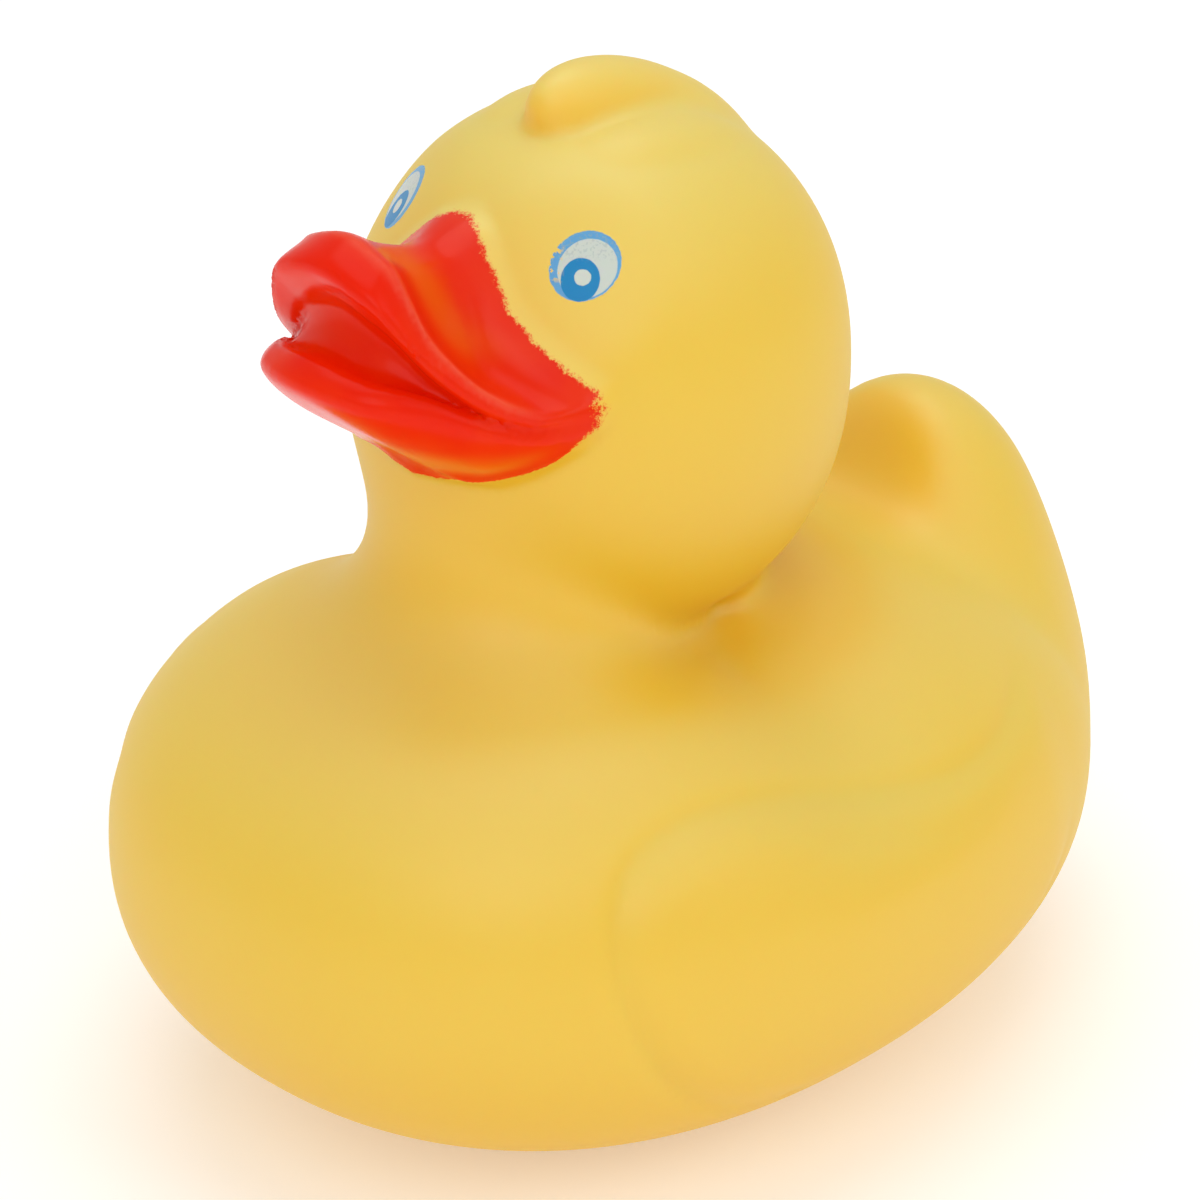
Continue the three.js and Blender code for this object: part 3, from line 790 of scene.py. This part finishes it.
def open_air(points, directions):
    """1 where nothing of the duck stands in the way straight ahead, down to 0 in its hollows."""
    free = np.zeros(len(points))
    for far in AIR_DISTANCES:
        ahead = points + directions * far
        gap = soft_min(egg(ahead), skull(ahead), AIR_BLEND)
        free += smooth_step(gap / far, 0, 0.9) / len(AIR_DISTANCES)
    return smooth_step(free, 0.35, 1.0)


def painted_sheen(points, directions):
    """How much paler yellow is painted on as sheen: most on top of the head, less on the back."""
    share = SHEEN_ON_BACK + SHEEN_MORE_ON_HEAD * smooth_step(points[:, 2], HEAD_STARTS, HEAD_FULL)
    return smooth_step(directions[:, 2], 0.25, 1) * share * open_air(points, directions)


def per_vertex(mesh, name):
    """One vector for each vertex: its place ("co") or its normal ("normal")."""
    flat = np.empty(len(mesh.vertices) * 3)
    mesh.vertices.foreach_get(name, flat)
    return flat.reshape(-1, 3)


drawn_points = drawn(per_vertex(cut_mesh, "co"))
normals = per_vertex(cut_mesh, "normal")
ATTRIBUTES = {
    "paint_edge": paint_distance(drawn_points),
    "orange_share": orange_share(drawn_points),
    "rim_highlight": rim_highlight(drawn_points),
    # The last two are painted light: a paler sheen on top and a deeper shade underneath.
    "painted_sheen": painted_sheen(drawn_points, normals),
    "underside_shade": fade_out(normals[:, 2], -0.6, 0.25),
}
for attribute_name, values in ATTRIBUTES.items():
    layer = cut_mesh.attributes.new(attribute_name, "FLOAT", "POINT")
    layer.data.foreach_set("value", values.astype(np.float32))
    print(attribute_name, "from", round(float(values.min()), 2), "to", round(float(values.max()), 2))

# %% [markdown]
# ## Printed eyes
# Each eye is pad printed: a light blue ring, a pale disc on it and a darker pupil with a pale dot.
# Such a print could be wrapped on with UVs, but four ovals stay sharp at any size. They are drawn
# on a plane through the eye from Object coordinates, with X folded so that one drawing makes both
# eyes. A little noise makes the edges uneven, and the left eye's ring has chipped at its front.

# %% Eye prints
vinyl, tree, shader = new_finish("satin_vinyl")
place = add(tree, "TexCoord").outputs["Object"]


def noise(scale, detail=2.0, roughness=0.5):
    """A cloudy pattern on Object coordinates; a larger scale makes smaller clouds."""
    inputs = {"Vector": place, "Scale": scale, "Detail": detail, "Roughness": roughness}
    return add(tree, "TexNoise", inputs).outputs[0]


EYE_CENTRE = Vector(placed([9.95, -14.1, 76.65]))
EYE_NORMAL = Vector((0.516, -0.621, 0.590)).normalized()
EYE_SIDE = Vector((0, 0, 1)).cross(EYE_NORMAL).normalized()
EYE_UP = EYE_NORMAL.cross(EYE_SIDE)
PRINT_EDGE, RING_EDGE = 0.04, 0.05
parts = add(tree, "SeparateXYZ", {0: place})
left_side = calc(tree, "ABSOLUTE", parts.outputs[0])
folded = add(tree, "CombineXYZ", {0: left_side, 1: parts.outputs[1], 2: parts.outputs[2]}).outputs[0]
from_eye = add(tree, "VectorMath", {0: folded, 1: EYE_CENTRE}, operation="SUBTRACT").outputs[0]


def along(direction):
    """Millimetres from the eye's centre along a direction."""
    inputs = {0: from_eye, 1: direction * 1000}
    return add(tree, "VectorMath", inputs, operation="DOT_PRODUCT").outputs["Value"]


eye_u, eye_v, eye_n = along(EYE_SIDE), along(EYE_UP), along(EYE_NORMAL)


def oval(u, v, long_radius, short_radius, turn):
    """Distance outside an oval print, about in millimetres, negative inside."""
    c, s = math.cos(math.radians(turn)), math.sin(math.radians(turn))
    du, dv = calc(tree, "SUBTRACT", eye_u, u), calc(tree, "SUBTRACT", eye_v, v)
    a = calc(tree, "MULTIPLY_ADD", du, c / long_radius, calc(tree, "MULTIPLY", dv, s / long_radius))
    b = calc(tree, "MULTIPLY_ADD", du, -s / short_radius, calc(tree, "MULTIPLY", dv, c / short_radius))
    size = calc(tree, "SQRT", calc(tree, "ADD", calc(tree, "MULTIPLY", a, a), calc(tree, "MULTIPLY", b, b)))
    return calc(tree, "MULTIPLY", calc(tree, "SUBTRACT", size, 1.0), short_radius)


def inked(distance, softness):
    """1 inside a print and 0 outside, with an edge as soft as softness in millimetres."""
    return ramp(tree, distance, softness, -softness)


edge_wobble = calc(tree, "MULTIPLY", calc(tree, "SUBTRACT", noise(2600.0, 3.0), 0.5), 0.16)
half_wobble = calc(tree, "MULTIPLY", edge_wobble, 0.5)
small_wobble = calc(tree, "MULTIPLY", edge_wobble, 0.4)
ring_area = inked(calc(tree, "ADD", oval(0.0, 0.06, 2.95, 2.60, 48), edge_wobble), RING_EDGE)
white_area = inked(calc(tree, "ADD", oval(0.19, -0.12, 2.43, 2.19, 49), half_wobble), PRINT_EDGE)
pupil_area = inked(calc(tree, "ADD", oval(-0.31, -1.04, 1.72, 1.51, 85), small_wobble), PRINT_EDGE)
dot_area = inked(calc(tree, "ADD", oval(-0.13, -0.85, 0.65, 0.64, 0), edge_wobble), PRINT_EDGE)

RING_BLUE, PUPIL_BLUE = tint(104, 170, 216), tint(36, 138, 194)
DISC_WHITE, DOT_WHITE, SCUFF_GREY = tint(208, 216, 206), tint(212, 220, 208), tint(160, 178, 178)
print_colour = mix(tree, white_area, RING_BLUE, DISC_WHITE)
print_colour = mix(tree, pupil_area, print_colour, PUPIL_BLUE)
print_colour = mix(tree, dot_area, print_colour, DOT_WHITE)
scuffs = calc(tree, "MULTIPLY", ramp(tree, noise(4200.0, 2.0), 0.52, 0.62), ramp(tree, eye_v, 0.2, 1.2))
print_colour = mix(tree, calc(tree, "MULTIPLY", scuffs, 0.35), print_colour, SCUFF_GREY)

chips = calc(tree, "MULTIPLY", ramp(tree, noise(1900.0, 2.0), 0.53, 0.57), ramp(tree, eye_u, -1.5, -2.2))
chips = calc(tree, "MULTIPLY", chips, ramp(tree, eye_v, -1.6, -0.6))
chips = calc(tree, "MULTIPLY", chips, calc(tree, "GREATER_THAN", parts.outputs[0], 0.0))
in_front = calc(tree, "GREATER_THAN", eye_n, -3.0)
printed = calc(tree, "MULTIPLY", calc(tree, "MAXIMUM", ring_area, pupil_area), in_front)
printed = calc(tree, "MULTIPLY", printed, calc(tree, "SUBTRACT", 1.0, chips))
print("eyes drawn with", len(tree.nodes), "nodes")

# %% [markdown]
# ## Yellow vinyl and red lacquer
# Soft vinyl is a satin, slightly translucent plastic: light enters, scatters and comes out warmer,
# which evens the shading, so the shader has some subsurface scattering. A paler yellow is painted
# on top as sheen and a deeper yellow underneath as shade. The beak's lacquer turns orange in the
# saddle and low under the bill, has a pale highlight painted along its rim, and its edge is broken
# up by two sizes of noise, as overspray is. Lacquer and ink are smoother than bare vinyl, and a
# little less so in the dry band along the mask's upper edge.

# %% Vinyl and lacquer colours
BARE_YELLOW, BARE_YELLOW_WARM = tint(247, 197, 32), tint(246, 199, 42)
# A paler yellow painted on as sheen, and a deeper yellow painted on as shade.
SHEEN_YELLOW, SHADE_YELLOW = tint(241, 212, 98), tint(234, 184, 24)
LACQUER_RED, LACQUER_RED_LIGHT = tint(236, 33, 0), tint(239, 48, 0)
# The pale lacquer is a highlight painted along the bill's rim.
ORANGE_LACQUER, HIGHLIGHT_LACQUER, HIGHLIGHT_SHARE = tint(238, 100, 6), tint(244, 112, 84), 0.4
SPECKLE_REACH, WANDER_REACH, PAINT_EDGE_SOFTNESS = 0.8, 0.3, 0.1
paint_edge, sheen_area = stored(tree, "paint_edge"), stored(tree, "painted_sheen")

mottle = ramp(tree, noise(38.0, 3.0), 0.35, 0.65)
bare = mix(tree, mottle, BARE_YELLOW, BARE_YELLOW_WARM)
# Paint a paler sheen on top.
bare = mix(tree, sheen_area, bare, SHEEN_YELLOW)
# Paint a deeper shade underneath.
bare = mix(tree, stored(tree, "underside_shade"), bare, SHADE_YELLOW)

lacquer = mix(tree, ramp(tree, noise(120.0, 4.0), 0.35, 0.7), LACQUER_RED, LACQUER_RED_LIGHT)
# Turn the lacquer orange in the saddle and low under the bill.
lacquer = mix(tree, stored(tree, "orange_share"), lacquer, ORANGE_LACQUER)
# Paint a pale highlight along the rim.
rim_glint = calc(tree, "MULTIPLY", stored(tree, "rim_highlight"), HIGHLIGHT_SHARE)
lacquer = mix(tree, rim_glint, lacquer, HIGHLIGHT_LACQUER)

speckle = calc(tree, "SUBTRACT", noise(3800.0, 4.0, 0.8), 0.5)
wander = calc(tree, "SUBTRACT", noise(900.0, 2.0), 0.5)
ragged = calc(tree, "MULTIPLY_ADD", wander, WANDER_REACH, paint_edge)
ragged = calc(tree, "MULTIPLY_ADD", speckle, SPECKLE_REACH, ragged)
painted = ramp(tree, ragged, PAINT_EDGE_SOFTNESS, -PAINT_EDGE_SOFTNESS)
colour = mix(tree, painted, bare, lacquer)
colour = mix(tree, printed, colour, print_colour)
fill(tree, shader.inputs["Base Color"], colour)
print("yellow vinyl, red lacquer and prints mixed")

# %% Vinyl and lacquer surface
VINYL_ROUGHNESS, COATED_ROUGHNESS = 0.5, 0.22
VINYL_SPECULAR, COATED_SPECULAR = 0.95, 0.12
DRY_SHARE = -0.25
dry = calc(tree, "MULTIPLY", ramp(tree, paint_edge, -2.0, -0.6), ramp(tree, sheen_area, 0.0, 0.5))
glossy = calc(tree, "MULTIPLY", painted, calc(tree, "MULTIPLY_ADD", dry, DRY_SHARE, 1.0))
coated = calc(tree, "MAXIMUM", glossy, printed)
fill(tree, shader.inputs["Roughness"], ramp(tree, coated, 0.0, 1.0, VINYL_ROUGHNESS, COATED_ROUGHNESS))
fill(tree, shader.inputs["Specular IOR Level"], ramp(tree, coated, 0.0, 1.0, VINYL_SPECULAR, COATED_SPECULAR))
shader.inputs["Subsurface Weight"].default_value = 0.35
shader.inputs["Subsurface Radius"].default_value = (1.0, 0.45, 0.12)
shader.inputs["Subsurface Scale"].default_value = 0.004
bumps = add(tree, "Bump", {"Height": noise(900.0, 4.0, 0.6), "Strength": 0.04, "Distance": 0.0004})
fill(tree, shader.inputs["Normal"], bumps.outputs[0])
vinyl_duck.data.materials.append(vinyl)
print(len(tree.nodes), "nodes in", vinyl.name)

# %% [markdown]
# ## Squeaker finishes
# The squeaker is a push-in whistle of hard milky plastic with a thin film reed. Its CAD solids already
# have the right shape, so they stay and only get better materials: a faint mould texture for
# the plug and holder and a glossier finish for the reed.

# %% Squeaker finishes
def hard_plastic(name, colour, roughness):
    """A moulded plastic that is slightly cloudy in colour and roughness."""
    material, tree, shader = new_finish(name)
    where = add(tree, "TexCoord").outputs["Object"]
    cloud = add(tree, "TexNoise", {"Vector": where, "Scale": 400.0, "Detail": 3.0}).outputs[0]
    darker = tuple(c * 0.88 for c in colour[:3]) + (1.0,)
    cloudy = ramp(tree, cloud, 0.3, 0.7)
    fill(tree, shader.inputs["Base Color"], mix(tree, cloudy, darker, colour))
    fill(tree, shader.inputs["Roughness"], ramp(tree, cloud, 0.3, 0.7, roughness, roughness + 0.1))
    grain = add(tree, "Bump", {"Height": cloud, "Strength": 0.08, "Distance": 0.0002})
    fill(tree, shader.inputs["Normal"], grain.outputs[0])
    return material


milky_plastic = hard_plastic("milky_plastic", tint(232, 228, 216), 0.42)
reed_film = hard_plastic("clear_film", tint(240, 238, 230), 0.2)
SQUEAKER_FINISHES = {
    "squeaker_plug": milky_plastic,
    "squeaker_reed_holder": milky_plastic,
    "squeaker_reed": reed_film,
}
for node_name, finish in SQUEAKER_FINISHES.items():
    node_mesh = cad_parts[node_name].data
    node_mesh.materials.clear()
    node_mesh.materials.append(finish)
    print(node_name, "gets", finish.name)

# %% [markdown]
# ## Camera, floor and light
# A long lens stands high off the duck's left front, as for a catalogue picture. Most light comes
# from an even white room, so shadows are faint. Three weak round lamps above, in front and at the
# duck's left give the lacquer its soft highlights. The floor is matt white and glows a little,
# which keeps it clean and lights the belly from below.

# %% Camera
CAMERA_AT, CAMERA_AZIMUTH, CAMERA_ELEVATION = (0.26088, -0.26343, 0.22304), 45.0, 26.3
SENSOR_WIDTH, FOCAL_LENGTH = 36, 150.2
DRAWN_MIDDLE, MIDDLE_HEIGHT = (0, 0, 40), Vector((0, 0, 0.04))
camera = bpy.data.objects.new("camera", bpy.data.cameras.new("camera"))
bpy.context.scene.collection.objects.link(camera)
bpy.context.scene.camera = camera
azimuth, elevation = math.radians(CAMERA_AZIMUTH), math.radians(CAMERA_ELEVATION)
level = math.cos(elevation)
backwards = Vector((math.sin(azimuth) * level, -math.cos(azimuth) * level, math.sin(elevation)))
camera.location = Vector(CAMERA_AT) + Vector(placed(DRAWN_MIDDLE)) - MIDDLE_HEIGHT
camera.rotation_mode = "QUATERNION"
camera.rotation_quaternion = (-backwards).to_track_quat("-Z", "Y")
camera.data.sensor_width = SENSOR_WIDTH
camera.data.lens = FOCAL_LENGTH
camera.data.clip_start = 0.01
camera.data.clip_end = 20
print("camera at", tuple(camera.location))

# %% Floor and lights
FLOOR_REACH = 3
floor_corners = [(x * FLOOR_REACH, y * FLOOR_REACH, 0) for x, y in ((-1, -1), (1, -1), (1, 1), (-1, 1))]
floor = mesh_object("floor", floor_corners, [(0, 1, 2, 3)])
floor_finish, tree, shader = new_finish("white_paper")
shader.inputs["Base Color"].default_value = (0.93, 0.93, 0.93, 1)
shader.inputs["Roughness"].default_value = 0.9
shader.inputs["Emission Color"].default_value = (1, 1, 1, 1)
shader.inputs["Emission Strength"].default_value = 0.25
floor.data.materials.append(floor_finish)

world = bpy.data.worlds.new("soft_room")
bpy.context.scene.world = world
world.use_nodes = True
world.node_tree.nodes["Background"].inputs["Color"].default_value = (1, 1, 1, 1)
world.node_tree.nodes["Background"].inputs["Strength"].default_value = 0.6


def round_lamp(name, at, size, watts):
    """A soft round lamp that points at the duck's middle."""
    light = bpy.data.lights.new(name, "AREA")
    light.shape, light.size, light.energy = "DISK", size, watts
    lamp = bpy.data.objects.new(name, light)
    bpy.context.scene.collection.objects.link(lamp)
    lamp.location = at
    lamp.rotation_mode = "QUATERNION"
    lamp.rotation_quaternion = (Vector(at) - MIDDLE_HEIGHT).to_track_quat("Z", "Y")


round_lamp("top_light", (-0.1, 0.1, 0.9), size=0.8, watts=2.0)
round_lamp("front_light", (0.4, -0.45, 0.5), size=0.5, watts=0.9)
round_lamp("side_light", (0.8, 0.15, 0.6), size=0.5, watts=0.6)
bpy.context.scene.view_settings.view_transform = "Standard"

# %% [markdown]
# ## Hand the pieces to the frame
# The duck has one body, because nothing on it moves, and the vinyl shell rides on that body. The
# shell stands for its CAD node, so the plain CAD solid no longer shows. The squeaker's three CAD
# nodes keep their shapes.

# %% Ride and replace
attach(vinyl_duck, "root")
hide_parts("duck_body")
